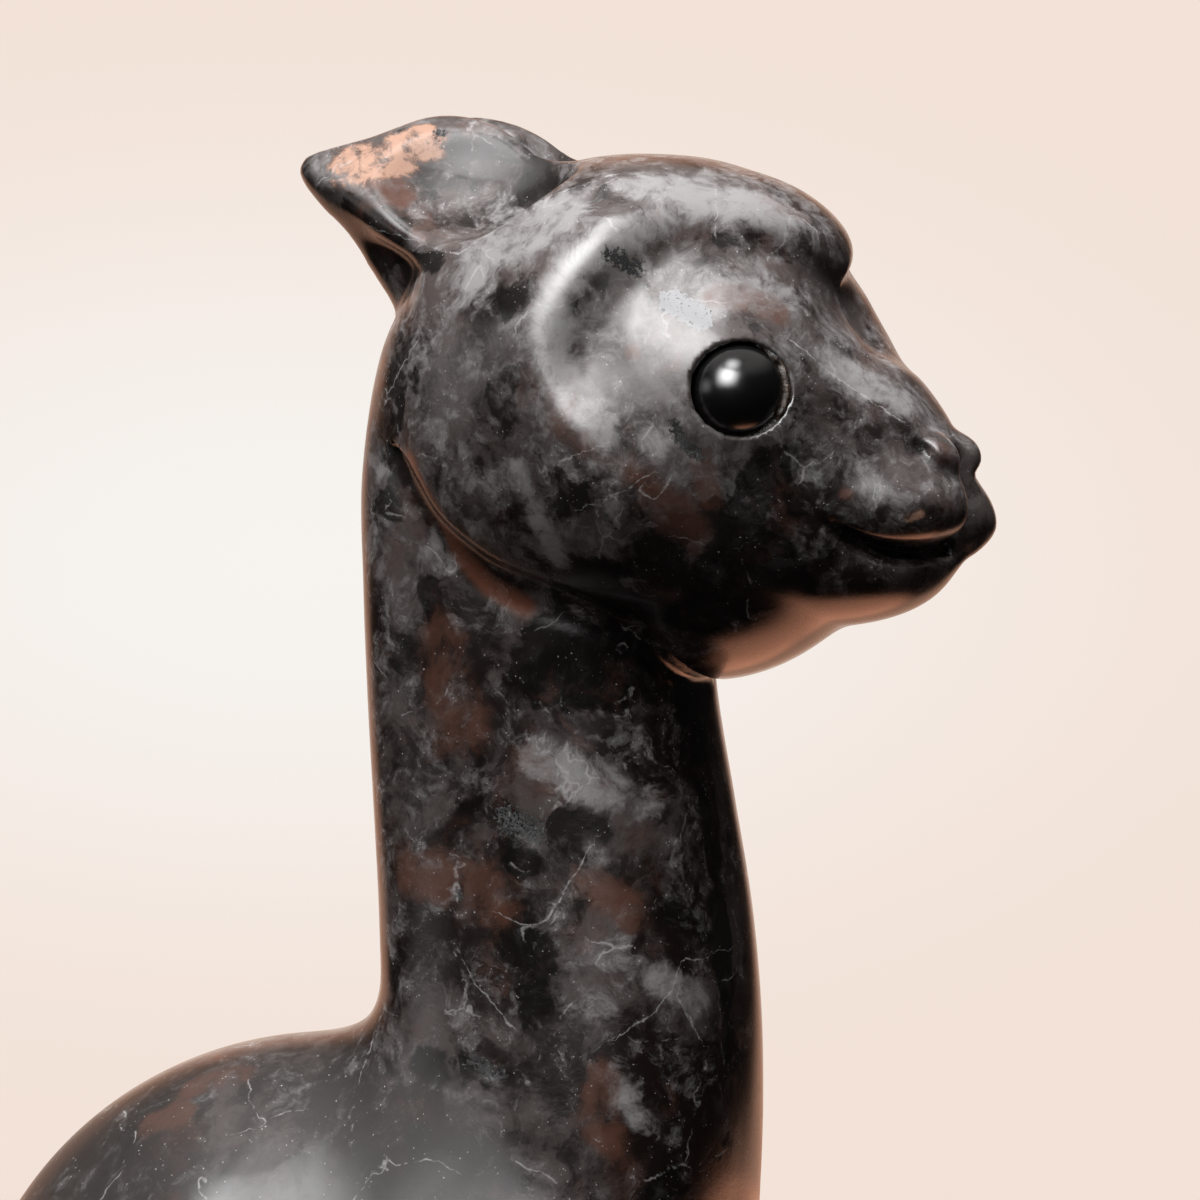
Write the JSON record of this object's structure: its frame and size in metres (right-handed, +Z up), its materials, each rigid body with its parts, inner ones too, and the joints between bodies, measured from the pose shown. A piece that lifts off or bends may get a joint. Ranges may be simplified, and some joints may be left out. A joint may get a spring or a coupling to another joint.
{
  "type": "inca llama figure",
  "caption": "Polished dark stone carving of a llama's head and neck, with swept-back ears and glossy black bead eyes, cut off flat below so that it stands by its own weight.",
  "frame": {"origin": "on the flat underside, below the middle of the neck", "axes": "+X the way the llama looks, +Y its left, +Z up"},
  "size_m": [0.0567, 0.0264, 0.0625],
  "materials": {
    "stone": "polished, mottled near-black and grey with white veins and brown patches",
    "bead": "glossy opaque black"
  },
  "bodies": {
    "root": {"stone_figure": "stone", "eye_right": "bead", "eye_left": "bead"}
  },
  "joints": []
}
